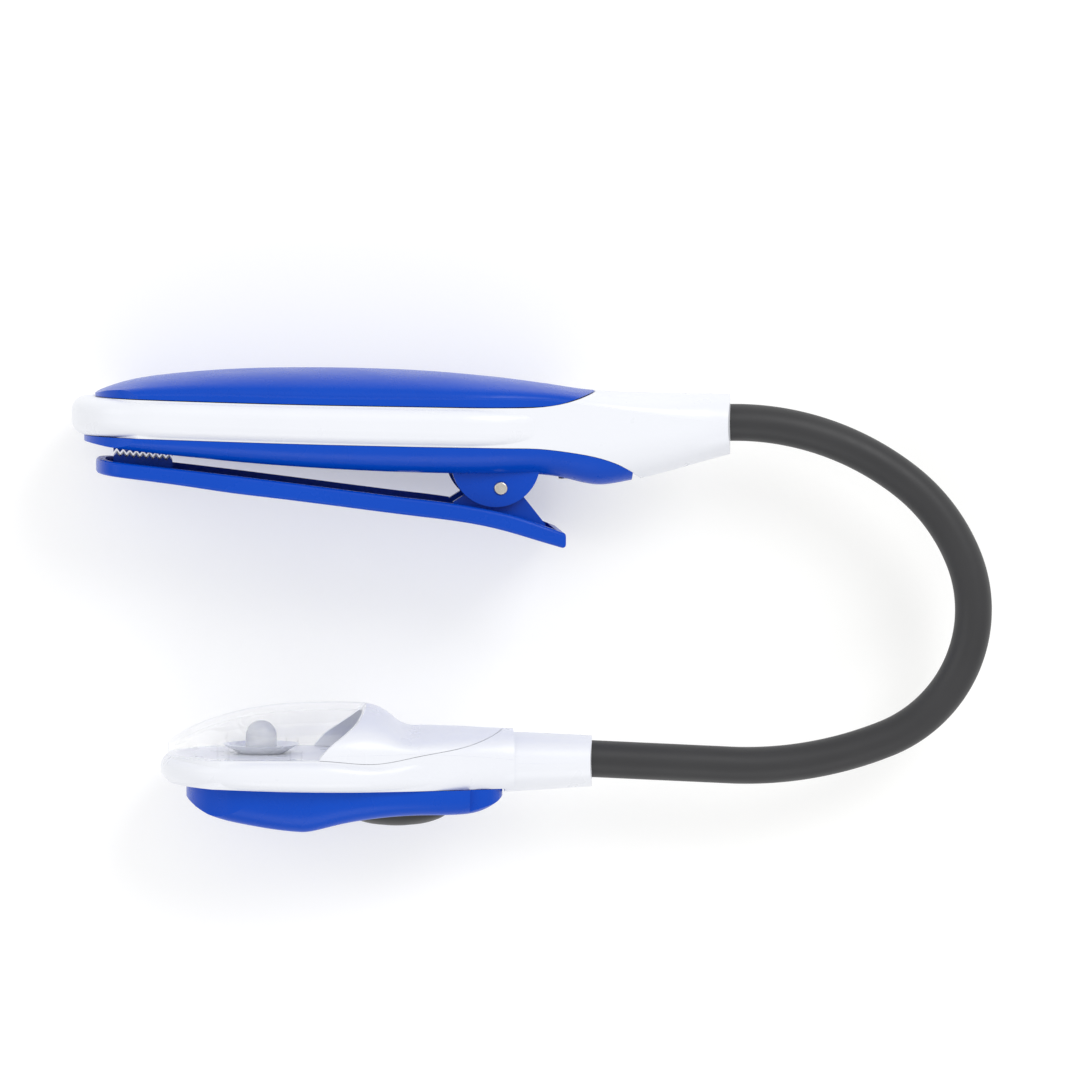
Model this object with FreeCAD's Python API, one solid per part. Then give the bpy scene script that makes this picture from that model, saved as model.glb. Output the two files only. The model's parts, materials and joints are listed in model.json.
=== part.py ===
import FreeCAD, Part
import math
import os

# Clip-on reading lamp: a spring clip that carries two cells, a bendable neck and an LED head.
# Working axes: +X from the clip's nose to its neck socket, +Y from the jaw to the battery cover,
# +Z across the width, with z = 0 on the middle plane and the neck leaving the clip at the origin.
# floor_offset() finally moves everything so that the lamp lies on its flank on z = 0.

V = FreeCAD.Vector

# ---------------------------------------------------------------- driving dimensions (mm)
BODY_HALF_WIDTH = 15.0        # half the clip's width over its rim, which it lies on
BAND_ROUND = 2.3              # rounding of the white bands' outer edges
SEAM = 0.12                   # visible gap round a removable or fixed cover
FIT = 0.10                    # general clearance between neighbouring parts

NOSE_X = -106.2               # clip: nose of the white frame
COVER_NOSE_X = -102.4
SHELL_NOSE_X = -104.2
SHELL_TAIL_X = -16.2
HULL_HALF_WIDTH = 13.7        # clip: covers are set in from the frame by the difference
COVER_WALL = 0.9
SHELL_WALL = 0.9
BAY_X = (-92.0, -41.3)        # battery bay inside the frame
BAY_HALF_WIDTH = 11.0
RIBS_X = (-70.0, -52.0)       # ribs that cradle the cells

CELL_RADIUS = 5.15
CELL_LENGTH = 43.6
CELL_NUB = (1.9, 0.9)         # radius, length
CELL_Y = 1.45
CELL_Z = 5.3
CELL_X0 = -87.3

NECK_RADIUS = 3.0
SLEEVE_BORE = 2.35
CORE_RADIUS = 1.7
CORE_BORE = 1.2
WIRE_RADIUS = 0.36
WIRE_OFFSET = 0.45
NECK_STRAIGHT_START = 0.75    # straight run out of the clip, then tangent arcs (radius, turn)
NECK_ARCS = ((45.4, 38.0), (30.4, 30.5), (22.4, 90.0), (61.0, 24.5))
NECK_STRAIGHT_END = 21.9
NECK_LINKS = 14               # bending hinges along the neck
LINK_SETBACK = 0.75           # a link stops this far short of its hinge
SOCKET_DEPTH = 9.0
MOUTH_BOW = 16.0              # radius that the sockets' mouths are rounded to across the width
FERRULE_RADIUS = 2.55
FERRULE_LENGTH = 6.0
BASE_LEAD = 37.5              # how far the two wires reach back into the battery bay

PIN = (-37.7, -10.1)          # clip hinge axis in XY
PIN_RADIUS = 1.1
PIN_CLEARANCE = 0.08
SPRING_WIRE = 0.4              # radius of the jaw spring's wire
SPRING_TURNS = 12
EAR_CENTRE = (-38.5, -6.0)
EAR_RADIUS = 7.1
EAR_Z = (7.6, 9.5)            # inner and outer face of each ear of the clip
GUSSET_Z = (5.4, 7.3)         # inner and outer face of each ear of the jaw
TOOTH_PITCH = 1.05
TOOTH_HEIGHT = 0.62
TEETH_X = (-99.5, -89.8)
TEETH_HALF_WIDTH = 4.2
TEETH_GAP = 0.75
JAW_HALF_WIDTH = 12.6
JAW_WALL = 1.5
JAW_SLOTS_X = (-87.2, -53.8)  # moulding slots through the lever's floor
JAW_SLOT_HALF_WIDTH = 5.0

HEAD_NOSE_X = -92.1
HEAD_RIM_HALF_WIDTH = 14.96    # just short of the clip's, so the clip's flat flank takes the load
HEAD_HALF_WIDTH = 14.0
LENS_NOSE_X = -91.0
LENS_WALL = 1.2
BEZEL_WALL = 1.1
HEAD_STEP_X = -35.2           # the bezel ends here and the neck sleeve starts
HEAD_MOUTH_X = -22.4
BACK_X = (-88.0, -36.9)
BACK_HALF_WIDTH = 11.6
BACK_WALL = 1.1
BACK_TAIL_BOW = 5.6
BACK_CORNER = 2.6
BUTTON_X = (-62.3, -45.6)
BUTTON_TOP_Y = -65.1          # how far the button stands out of the back
BUTTON_HALF_WIDTH = 4.6
LENS_PEGS = ((-82.2, 11.3, -49.9), (-70.6, 12.0, -51.9))   # x, distance off the middle, top

LED_X = -75.9
LED_RADIUS = 2.5
LED_TOP_Y = -47.9
LED_SEAT_Y = -53.3
PLATE_Y = -54.9               # underside of the white plate that the light stands on
BOARD = ((-81.0, -50.5), (-56.2, -55.2), (-8.5, 8.5))
SWITCH_X = -54.0
SWITCH_TRAVEL = 0.9
HEAD_SCREWS_X = (-84.6, -41.8)


# ---------------------------------------------------------------- helpers
def smooth(*knots):
    """A function of x through the given points, with no overshoot between them."""
    xs = [k[0] for k in knots]
    ys = [k[1] for k in knots]
    chords = [(ys[i + 1] - ys[i]) / (xs[i + 1] - xs[i]) for i in range(len(xs) - 1)]
    slopes = [chords[0]]
    for left, right in zip(chords, chords[1:]):
        slopes.append(0.0 if left * right <= 0 else 2.0 * left * right / (left + right))
    slopes.append(chords[-1])

    def value(x):
        if x <= xs[0]:
            return ys[0] + slopes[0] * (x - xs[0])
        if x >= xs[-1]:
            return ys[-1] + slopes[-1] * (x - xs[-1])
        i = max(k for k in range(len(xs) - 1) if xs[k] <= x)
        h = xs[i + 1] - xs[i]
        t = (x - xs[i]) / h
        return (ys[i] * (1 + 2 * t) * (1 - t) ** 2 + ys[i + 1] * t * t * (3 - 2 * t)
                + h * slopes[i] * t * (1 - t) ** 2 - h * slopes[i + 1] * t * t * (1 - t))
    return value


def level(y):
    return lambda x: y


def spread(start, end, count):
    return [start + (end - start) * i / (count - 1) for i in range(count)]


def through(points):
    curve = Part.BSplineCurve()
    curve.interpolate(points)
    return curve.toShape()


def box(x, y, z):
    return Part.makeBox(x[1] - x[0], y[1] - y[0], z[1] - z[0], V(x[0], y[0], z[0]))


def mirrored_z(shape):
    return shape.mirror(V(0, 0, 0), V(0, 0, 1))


def both_sides(shape):
    return shape.fuse(mirrored_z(shape))


def rod_z(centre, radius, z):
    return Part.makeCylinder(radius, z[1] - z[0], V(centre[0], centre[1], z[0]))


def rod_y(x, z, radius, y):
    return Part.makeCylinder(radius, y[1] - y[0], V(x, y[0], z), V(0, 1, 0))


def rod(start, direction, radius, length):
    return Part.makeCylinder(radius, length, start, direction)


def plate(points, z):
    """A flat-sided plate with the given outline in XY."""
    corners = [V(p[0], p[1], z[0]) for p in points]
    return Part.Face(Part.makePolygon(corners + corners[:1])).extrude(V(0, 0, z[1] - z[0]))


def layer(low, high, x, half_width=20.0, count=22):
    """Everything between two profile curves, right across the width."""
    stations = spread(x[0], x[1], count)
    lower = [V(s, low(s), -half_width) for s in stations]
    upper = [V(s, high(s), -half_width) for s in stations]
    wire = Part.Wire([through(lower), Part.makeLine(lower[-1], upper[-1]),
                      through(upper[::-1]), Part.makeLine(upper[0], lower[0])])
    return Part.Face(wire).extrude(V(0, 0, 2 * half_width))


def plan(nose_x, tail_x, half_width, nose_length, power=2.5, y=(-80.0, 30.0), tail=None, draw_x=None):
    """A plan outline with a blunt rounded nose, extruded through the height.

    The sides run straight to draw_x, where it is given, and then follow the half-width tail(x).
    """
    shoulder = nose_x + nose_length
    nose = []
    for i in range(13):
        angle = math.pi / 2 * i / 12
        nose.append(V(shoulder - nose_length * math.cos(angle) ** (2 / power), y[0],
                      half_width * math.sin(angle) ** (2 / power)))
    flip = [V(p.x, p.y, -p.z) for p in nose[::-1]]
    bow = through(flip[:-1] + nose)
    side = []
    if draw_x or not tail:
        side.append(Part.makeLine(nose[-1], V(draw_x or tail_x, y[0], half_width)))
    if tail:
        side.append(through([V(s, y[0], tail(s)) for s in spread(draw_x or shoulder, tail_x, 16)]))
    far_side = [edge.mirror(V(0, 0, 0), V(0, 0, 1)) for edge in side]
    ends = [edge.valueAt(edge.LastParameter) for edge in (side[-1], far_side[-1])]
    wire = Part.Wire(Part.__sortEdges__([bow, Part.makeLine(*ends)] + side + far_side))
    return Part.Face(wire).extrude(V(0, y[1] - y[0], 0))


def section(x, half_width, top, crease, chine, floor, corner, chamfer):
    """One closed cross-section: a dome, a small chamfer, straight sides and rounded lower corners."""
    shoulder = half_width - chamfer
    rise = crease + chamfer
    dome = []
    for i in range(13):
        angle = math.pi * i / 12
        dome.append(V(x, rise + (top - rise) * math.sin(angle), shoulder * math.cos(angle)))
    lower = []
    for i in range(7):
        angle = math.pi / 2 * i / 6
        lower.append(V(x, chine - (chine - floor) * math.sin(angle),
                       half_width - corner + corner * math.cos(angle)))
    far = [V(p.x, p.y, -p.z) for p in lower[::-1]]
    side = V(x, crease, half_width)
    far_side = V(x, crease, -half_width)
    return Part.Wire([Part.makeLine(far_side, far[-1]), through(far[::-1]),
                      Part.makeLine(far[0], lower[-1]), through(lower[::-1]),
                      Part.makeLine(lower[0], side), Part.makeLine(side, dome[0]),
                      through(dome), Part.makeLine(dome[-1], far_side)])


def loft(wires):
    return Part.makeLoft(wires, True, False)


def round_edges(shape, radius, chosen):
    edges = [e for e in shape.Edges if chosen(e)]
    return shape.makeFillet(radius, edges)


def level_edge(edge):
    """True for an edge that doesn't run straight up through the height."""
    box_ = edge.BoundBox
    return box_.XLength + box_.ZLength > 0.05


# ---------------------------------------------------------------- clip: profiles
base_crown = smooth((-107, 1.5), (-102.4, 5.0), (-100.2, 6.0), (-96.2, 7.2), (-88.5, 8.25),
                    (-80.7, 8.8), (-71, 9.06), (-63, 9.0), (-50.8, 8.55), (-38.4, 7.5),
                    (-30.3, 6.45), (-21.5, 5.25), (-10, 4.85), (0, 4.65))
base_floor = smooth((-107, -2.3), (-104, -2.55), (-99.6, -3.4), (-90, -4.6), (-80.7, -5.6),
                    (-71.4, -6.4), (-63, -6.95), (-54, -7.4), (-45, -7.65), (-33, -7.85),
                    (-28, -8.45), (-24.5, -9.35), (-21.5, -9.8), (-16, -9.1), (0, -5.15))
cover_seam = smooth((-107, 4.65), (-101, 4.5), (-86, 3.95), (-70, 3.45), (-53.5, 3.1),
                    (-37, 2.85), (-30.5, 2.95), (-28, 3.35), (-26, 3.95), (-23.5, 4.7),
                    (-21, 5.45), (-18, 6.4))
shell_seam = smooth((-107, -1.45), (-101, -1.65), (-86, -2.2), (-70, -2.75), (-53.5, -3.2),
                    (-37, -3.55), (-31, -3.75), (-26, -4.5), (-20, -5.85), (-16, -8.0),
                    (-13, -10.6))
base_half_width = smooth((-107, HULL_HALF_WIDTH), (-44, HULL_HALF_WIDTH), (-38, 13.3),
                         (-31, 11.9), (-24, 9.9), (-17, 7.9), (-10, 6.2), (-4, 5.1), (0, 4.9))
base_crease = smooth((-107, 4.7), (-102, 4.75), (-96, 4.95), (-88, 4.95), (-70, 4.5),
                     (-53.5, 4.25), (-38, 4.15), (-30, 3.9), (-20, 2.6), (-8, 0.8), (0, -0.15))
base_chine = smooth((-107, -1.6), (-101, -1.9), (-86, -2.5), (-70, -3.1), (-53.5, -3.4),
                    (-34, -3.6), (-22, -3.2), (-8, -1.3), (0, -0.35))
base_corner = smooth((-107, 2.0), (-80, 3.2), (-44, 4.0), (-20, 5.2), (0, 4.85))
edge_chamfer = smooth((-107, 0.3), (-34, 0.35), (-12, 0.1), (0, 0.04))
BASE_STATIONS = (-107, -102, -97, -90, -81, -70, -58, -47, -41, -37, -33.5, -30.5, -28, -25.8, -23.6,
                 -21.5, -19.4, -17.2, -15, -12.5, -10, -7.5, -5, -2.5, 0)


def base_hull(inset):
    wires = []
    for x in BASE_STATIONS:
        wires.append(section(x, base_half_width(x) - inset, base_crown(x) - inset, base_crease(x),
                             base_chine(x), base_floor(x) + inset,
                             max(base_corner(x) - inset, 1.0), edge_chamfer(x)))
    return loft(wires)


def base_band():
    """The white frame's rounded rim, from the nose until it merges into the neck socket."""
    def rim(x):
        merge = min(max((x + 44.0) / 16.0, 0.0), 1.0)
        bulge = (BODY_HALF_WIDTH - HULL_HALF_WIDTH) * (1 - merge * merge * (3 - 2 * merge))
        return base_half_width(x) + bulge - 0.9 * merge ** 4
    outline = plan(NOSE_X, -24.0, BODY_HALF_WIDTH, 17.0, tail=rim, draw_x=-44.0)
    band = outline.common(layer(shell_seam, cover_seam, (-112, -20)))
    return round_edges(band, BAND_ROUND, lambda e: level_edge(e) and e.BoundBox.XMax < -24.5)


# ---------------------------------------------------------------- clip: parts
def socket_cuts():
    """The neck's bore, the ferrule's seat and the wire channel into the battery bay."""
    axis = V(1, 0, 0)
    return (rod(V(-SOCKET_DEPTH, 0, 0), axis, NECK_RADIUS + FIT, SOCKET_DEPTH + 5)
            .fuse(rod(V(-SOCKET_DEPTH - FERRULE_LENGTH, 0, 0), axis, FERRULE_RADIUS,
                      FERRULE_LENGTH + 1))
            .fuse(rod(V(BAY_X[1] - 1, 0, 0), axis, 1.6, 30)))


def between_seams(low, high, x):
    """A layer a hair inside two seams, so that no faces coincide where the hull joins the rim."""
    return layer(lambda at: low(at) + 0.02, lambda at: high(at) - 0.02, x)


def rounded_end(x, radius):
    """Everything short of an end at x that is rounded across the width."""
    bow = Part.makeCylinder(radius, 130, V(x - radius, -100, 0), V(0, 1, 0))
    return bow.fuse(box((-130, x - radius), (-100, 30), (-20, 20)))


def base_frame():
    waist = plan(COVER_NOSE_X, -12.0, HULL_HALF_WIDTH + 1.0, 13.2)
    waist = waist.common(between_seams(shell_seam, cover_seam, (-112, -12.9)))
    socket = box((-13.2, 0), (-20, 20), (-20, 20))
    frame = base_band().fuse(base_hull(0.0).common(waist.fuse(socket)))
    bay = box(BAY_X, (-12, 12), (-BAY_HALF_WIDTH, BAY_HALF_WIDTH))
    nose_pocket = box((-99.0, BAY_X[0] - 1.6), (-12, 12), (-5.5, 5.5))
    frame = frame.cut(bay).cut(nose_pocket).cut(socket_cuts())
    for x in RIBS_X:
        rib = box((x, x + 1.6), (-4.9, 0.0), (-BAY_HALF_WIDTH - 0.2, BAY_HALF_WIDTH + 0.2))
        frame = frame.fuse(rib.cut(cells_space()))
    frame = frame.common(rounded_end(0.0, MOUTH_BOW))
    return frame.cut(screw_cuts())


def cells_space():
    return both_sides(rod(V(CELL_X0 - 3, CELL_Y, CELL_Z), V(1, 0, 0), CELL_RADIUS + FIT, 60))


SCREW_PLACES = ((-96.0, 7.5), (-26.5, 4.4))   # x and distance off the middle plane


def screw_cuts():
    cuts = []
    for x, z in SCREW_PLACES:
        for side in (1, -1):
            cuts.append(rod_y(x, side * z, 0.8, (-12, 2.4)))
    return Part.makeCompound(cuts)


def battery_cover():
    inside = layer(lambda x: cover_seam(x) + SEAM, level(30), (-112, -15))
    outline = plan(COVER_NOSE_X, -10.0, HULL_HALF_WIDTH + 1.0, 13.2)
    outer = base_hull(0.0).common(inside).common(outline)
    core = base_hull(COVER_WALL).common(plan(COVER_NOSE_X + COVER_WALL, -27.0,
                                             HULL_HALF_WIDTH - COVER_WALL, 12.3))
    return largest(outer.cut(core))


def largest(shape):
    return max(shape.Solids, key=lambda s: s.Volume)


def base_bottom_shell():
    below = layer(level(-30), lambda x: shell_seam(x) - 0.04, (-112, -12.9))
    outline = plan(SHELL_NOSE_X, SHELL_TAIL_X, HULL_HALF_WIDTH + 1.0, 15.0)
    outer = base_hull(0.0).common(below).common(outline)
    core = base_hull(SHELL_WALL).common(plan(SHELL_NOSE_X + 2.2, SHELL_TAIL_X - 1.5,
                                             HULL_HALF_WIDTH - SHELL_WALL, 13.5))
    shell = largest(outer.cut(core))
    ear = rod_z(EAR_CENTRE, EAR_RADIUS, EAR_Z).common(box((-60, -20), (-20, -7.2), (-20, 20)))
    shell = shell.fuse(both_sides(ear)).fuse(upper_teeth())
    for x, z in SCREW_PLACES:
        shell = shell.fuse(both_sides(rod_y(x, z, 2.0, (base_floor(x) + 0.4, shell_seam(x) - 0.04))))
    for x, z in SCREW_PLACES:
        shank = rod_y(x, z, 1.0, (-30, 10))
        head = rod_y(x, z, 1.75, (-30, base_floor(x) + 0.75))
        shell = shell.cut(both_sides(shank.fuse(head)))
    return shell.cut(rod_z(PIN, PIN_RADIUS, (-12, 12)))


def mesh_line(x):
    """Height of the middle of the gap between the two rows of teeth."""
    return -4.35 - 0.8 * (x - TEETH_X[0]) / (TEETH_X[1] - TEETH_X[0])


def teeth(offset, back):
    """A row of teeth along the mesh line, moved by offset, on a block that reaches to back(x)."""
    count = int((TEETH_X[1] - TEETH_X[0]) / TOOTH_PITCH)
    points = []
    for i in range(2 * count + 1):
        x = TEETH_X[0] + i * TOOTH_PITCH / 2
        points.append((x, mesh_line(x) + offset + (TOOTH_HEIGHT / 2 if i % 2 else -TOOTH_HEIGHT / 2)))
    end = points[-1][0]
    outline = points + [(end, back(end)), (TEETH_X[0], back(TEETH_X[0]))]
    block = plate(outline, (-TEETH_HALF_WIDTH, TEETH_HALF_WIDTH))
    return block


def upper_teeth():
    return teeth(TEETH_GAP / 2, lambda x: base_floor(x) + 0.5)


def base_screws():
    screws = []
    for x, z in SCREW_PLACES:
        head_y = base_floor(x) + 0.75
        screw = rod_y(x, z, 0.8, (head_y, 2.2)).fuse(rod_y(x, z, 1.6, (head_y - 0.7, head_y)))
        slot = box((x - 1.3, x + 1.3), (head_y - 0.8, head_y - 0.4), (z - 0.2, z + 0.2)).fuse(
            box((x - 0.2, x + 0.2), (head_y - 0.8, head_y - 0.4), (z - 1.3, z + 1.3)))
        screw = screw.cut(slot)
        screws += [screw, mirrored_z(screw)]
    return Part.makeCompound(screws)


def hinge_pin():
    reach = EAR_Z[1] + 0.35
    pin = rod_z(PIN, PIN_RADIUS, (-reach, reach))
    return round_edges(pin, 0.3, lambda e: e.BoundBox.ZLength < 0.01)


def cell(z, nub_side):
    body = rod(V(CELL_X0 + CELL_NUB[1], CELL_Y, z), V(1, 0, 0), CELL_RADIUS, CELL_LENGTH - CELL_NUB[1])
    body = round_edges(body, 0.5, lambda e: e.BoundBox.XLength < 0.01)
    nub = rod(V(CELL_X0, CELL_Y, z), V(1, 0, 0), CELL_NUB[0], CELL_NUB[1] + 0.5)
    whole = body.fuse(nub)
    if nub_side > 0:
        middle = CELL_X0 + CELL_LENGTH / 2
        whole = whole.mirror(V(middle, 0, 0), V(1, 0, 0))
    return whole


def close_coil(start, axis, radii, wire, pitch):
    """Turns of round wire that touch, one ring for each turn."""
    rings = [Part.makeTorus(radius, wire, start + axis * (pitch * i), axis)
             for i, radius in enumerate(radii)]
    return rings[0].multiFuse(rings[1:]) if len(rings) > 1 else rings[0]


def contact_springs():
    """Conical springs, pressed nearly flat by the cells."""
    wire = 0.25
    left = close_coil(V(BAY_X[0] + 0.52 + wire, CELL_Y, -CELL_Z), V(1, 0, 0), spread(3.2, 1.4, 6), wire, 0.3)
    right = close_coil(V(BAY_X[1] - 0.52 - wire, CELL_Y, CELL_Z), V(-1, 0, 0), spread(2.4, 1.7, 3), wire, 0.3)
    return Part.makeCompound([left, right])


def contact_bridge():
    x = BAY_X[0] + 0.1
    return box((x, x + 0.4), (CELL_Y - 3.6, CELL_Y + 3.2), (-9.0, 9.0))


def contact_tabs():
    x = BAY_X[1] - 0.1
    tab = box((x - 0.4, x), (CELL_Y - 3.6, CELL_Y + 3.2), (2.0, 9.0))
    return Part.makeCompound([tab, mirrored_z(tab)])


# ---------------------------------------------------------------- clip: jaw
jaw_rim = smooth((-102.2, -5.3), (-89.8, -6.7), (-80.7, -7.8), (-71.4, -9.0), (-63.2, -10.1),
                 (-54, -11.3), (-46, -12.3), (-35.9, -14.3), (-30.9, -16.0), (-27.4, -17.3))
jaw_underside = smooth((-102.2, -7.6), (-90, -9.2), (-80.7, -10.6), (-71.4, -11.75), (-60, -13.25),
                       (-54, -14.05), (-44.6, -15.25), (-39.3, -16.25), (-35.9, -17.15),
                       (-31.2, -18.6), (-27.4, -19.75))


def clip_jaw():
    """A shallow channel lever with toothed nose, two ears round the pin and a flared thumb tail."""
    span = (-102.3, -27.4)

    def tail(x):
        return JAW_HALF_WIDTH - 1.4 * max(0.0, (x + 34.0) / 8.0) ** 2

    def floor(x):
        return jaw_underside(x) + 0.6

    outline = plan(span[0], span[1], JAW_HALF_WIDTH, 6.5, power=3.2, tail=tail)
    body = outline.common(layer(jaw_underside, jaw_rim, (-104, -25)))
    body = round_edges(body, 0.55, lambda e: level_edge(e) and e.BoundBox.XMax > -104)
    inner = plan(span[0] + JAW_WALL, span[1] - JAW_WALL, JAW_HALF_WIDTH - JAW_WALL, 5.5, power=3.2,
                 tail=lambda x: tail(x) - JAW_WALL)
    hollow = inner.common(layer(lambda x: jaw_underside(x) + 1.5, level(10), (-104, -24)))
    body = body.cut(hollow)
    body = body.fuse(teeth(-TEETH_GAP / 2, floor))
    boss = 2.1
    gusset = [(-45.2, floor(-45.2)), (-45.2, -12.35), (PIN[0] - boss * 0.62, PIN[1] + boss * 0.78),
              (PIN[0] + boss * 0.78, PIN[1] + boss * 0.62), (-30.4, -16.0), (-30.4, floor(-30.4))]
    ear = plate(gusset, GUSSET_Z).fuse(rod_z(PIN, boss, GUSSET_Z))
    body = body.fuse(both_sides(ear))
    for x in JAW_SLOTS_X:
        body = body.cut(box((x, x + 3.4), (-30, 0), (-JAW_SLOT_HALF_WIDTH, JAW_SLOT_HALF_WIDTH)))
    return body.cut(rod_z(PIN, PIN_RADIUS + PIN_CLEARANCE, (-12, 12)))


def torsion_spring():
    """Close-wound coil on the pin; one leg bears on the lever's floor, the other on the clip."""
    wire = SPRING_WIRE
    radius = PIN_RADIUS + 0.25 + wire
    half_pitch = 0.85 * wire
    valley = math.sqrt(wire ** 2 - half_pitch ** 2)
    lowest = -half_pitch * SPRING_TURNS
    edges = []
    for side in (1, -1):
        for i in range(SPRING_TURNS):
            z = lowest + half_pitch * 2 * i
            start = V(PIN[0] + radius + side * valley, PIN[1], z)
            crest = V(PIN[0] + radius + side * wire, PIN[1], z + half_pitch)
            edges.append(Part.Arc(start, crest, start + V(0, 0, 2 * half_pitch)).toShape())
    for z in (lowest, -lowest):
        edges.append(Part.makeLine(V(PIN[0] + radius - valley, PIN[1], z),
                                   V(PIN[0] + radius + valley, PIN[1], z)))
    outline = Part.Face(Part.Wire(Part.__sortEdges__(edges)))
    spring = outline.revolve(V(PIN[0], PIN[1], 0), V(0, 0, 1), 360)
    # Legs: a direction that starts inside the coil, its length, and where along the coil.
    for direction, length, z in ((V(0.35, -0.94, 0), 3.8, lowest + 3 * half_pitch),
                                 (V(0.93, 0.36, 0), 3.3, -lowest - 3 * half_pitch)):
        direction.normalize()
        start = V(PIN[0], PIN[1], z) + direction * radius
        spring = spring.fuse(rod(start, direction, 0.9 * wire, length))
    return spring


# ---------------------------------------------------------------- neck
def neck_path():
    """The neck's centreline as (start point, heading, length, radius) runs; radius 0 is straight."""
    runs = [(V(0, 0, 0), 0.0, NECK_STRAIGHT_START, 0.0)]
    at = V(NECK_STRAIGHT_START, 0, 0)
    heading = 0.0
    for radius, turn in NECK_ARCS:
        angle = math.radians(turn)
        runs.append((at, heading, radius * angle, radius))
        at = arc_point(at, heading, radius, angle)
        heading -= angle
    runs.append((at, heading, NECK_STRAIGHT_END, 0.0))
    return runs


def arc_point(at, heading, radius, angle):
    """The point reached by turning clockwise through angle."""
    centre = at + V(math.sin(heading), -math.cos(heading), 0) * radius
    return centre + V(-math.sin(heading - angle), math.cos(heading - angle), 0) * radius


NECK_RUNS = neck_path()
NECK_LENGTH = sum(run[2] for run in NECK_RUNS)


def neck_at(distance):
    """Point and heading at a distance along the neck from the clip's mouth."""
    left = distance
    for at, heading, length, radius in NECK_RUNS:
        if left <= length or (at, heading, length, radius) == NECK_RUNS[-1]:
            if radius == 0.0:
                return at + V(math.cos(heading), math.sin(heading), 0) * left, heading
            angle = left / radius
            return arc_point(at, heading, radius, angle), heading - angle
        left -= length
    return None


def neck_end():
    point, heading = neck_at(NECK_LENGTH)
    return point, V(math.cos(heading), math.sin(heading), 0)


def hinge_places():
    """Where the neck bends: the middle of each equal stretch."""
    step = NECK_LENGTH / NECK_LINKS
    return [neck_at((i + 0.5) * step)[0] for i in range(NECK_LINKS)]


def neck_edges(shift_z, before, after):
    """The centreline's edges, run on straight by before and after at its ends."""
    edges = []
    lift = V(0, 0, shift_z)
    edges.append(Part.makeLine(V(-before, 0, 0) + lift, NECK_RUNS[1][0] + lift))
    for at, heading, length, radius in NECK_RUNS[1:-1]:
        angle = length / radius
        edges.append(Part.Arc(at + lift, arc_point(at, heading, radius, angle / 2) + lift,
                              arc_point(at, heading, radius, angle) + lift).toShape())
    end, direction = neck_end()
    edges.append(Part.makeLine(NECK_RUNS[-1][0] + lift, end + direction * after + lift))
    return edges


def swept(shift_z, radius, before, after):
    path = Part.Wire(neck_edges(shift_z, before, after))
    profile = Part.Wire(Part.makeCircle(radius, V(-before, 0, shift_z), V(1, 0, 0)))
    return path.makePipeShell([profile], True, False)


def neck_sleeve():
    depth = SOCKET_DEPTH - 0.3
    return swept(0, NECK_RADIUS, depth, depth).cut(swept(0, SLEEVE_BORE, depth + 1, depth + 1))


def neck_links():
    """The wound steel core as short stiff links between the bending places."""
    end, direction = neck_end()
    stop = SOCKET_DEPTH + FERRULE_LENGTH
    places = [V(-stop - LINK_SETBACK, 0, 0)] + hinge_places() + [end + direction * (stop + LINK_SETBACK)]
    links = {}
    for i, (a, b) in enumerate(zip(places, places[1:])):
        if i == 0:
            b = V(b.x, a.y, a.z)      # the first link lies straight in its bush
        along = b - a
        length = along.Length - 2 * LINK_SETBACK
        along.normalize()
        start = a + along * LINK_SETBACK
        link = rod(start, along, CORE_RADIUS, length)
        link = round_edges(link, 0.35, lambda e: e.Curve.TypeId == "Part::GeomCircle")
        links["neck_core_%02d" % i] = link.cut(rod(start - along, along, CORE_BORE, length + 2))
    return links


def ferrule(start, direction):
    """Crimped bush that grips the core at one end of the neck."""
    bush = rod(start, direction, FERRULE_RADIUS - 0.02, FERRULE_LENGTH - 0.1)
    return bush.cut(rod(start - direction, direction, CORE_RADIUS + 0.01, FERRULE_LENGTH + 2))


# ---------------------------------------------------------------- head: profiles
head_crown = smooth((-93, -54.5), (-91, -52.2), (-89.7, -50.4), (-86.2, -48.5), (-82.2, -47.05),
                    (-76.8, -45.75), (-71.5, -45.2), (-66.1, -45.0), (-60.5, -45.05),
                    (-57.5, -45.6), (-55.3, -46.75), (-53.5, -48.2), (-51.8, -48.9),
                    (-49.7, -48.9), (-45, -49.0), (-40, -49.25), (-35, -49.5))
head_ledge = smooth((-95, -53.1), (-80, -53.2), (-67.4, -53.3), (-58.3, -54.0), (-50.2, -52.9),
                    (-43.4, -51.9), (-39.5, -50.7), (-36.5, -49.2), (-34, -47.8))
head_split = smooth((-95, -57.3), (-88, -57.6), (-71.5, -58.3), (-53.5, -58.6), (-37, -58.95),
                    (-22, -59.3))
head_half_width = smooth((-95, HEAD_HALF_WIDTH), (-68, HEAD_HALF_WIDTH), (-62, 13.6), (-54, 11.7),
                         (-46, 8.6), (-40, 6.2), (-35, 4.9), (-32, 4.8))
head_corner = smooth((-95, 2.2), (-52, 2.2), (-44, 3.2), (-35, 4.3))
head_crease = smooth((-95, -52.9), (-70, -52.9), (-62, -52.6), (-54, -52.6), (-46, -53.0),
                     (-40, -53.6), (-35, -54.2))
head_chine = smooth((-95, -56.0), (-68, -56.5), (-54, -56.3), (-44, -55.8), (-35, -55.2))
sleeve_top = smooth((-38, -50.0), (-35, -50.05), (-22.4, -50.7))
sleeve_bottom = smooth((-38, -59.75), (-35, -59.65), (-22.4, -58.95))
lens_edge = smooth((-54.2, -67.6), (-53.0, -66.9), (-51.3, -65.4), (-49.2, -62.6), (-47.6, -60.7),
                   (-45.6, -59.2), (-43.5, -58.2))
HEAD_STATIONS = (-93, -90, -86, -81, -75, -69, -65, -62, -59.5, -57.5, -55.5, -53.5, -51.5, -49.5, -47.5,
                 -45.5, -43.5, -41.5, -39.5, -37.5, -35.7, -34)


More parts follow.
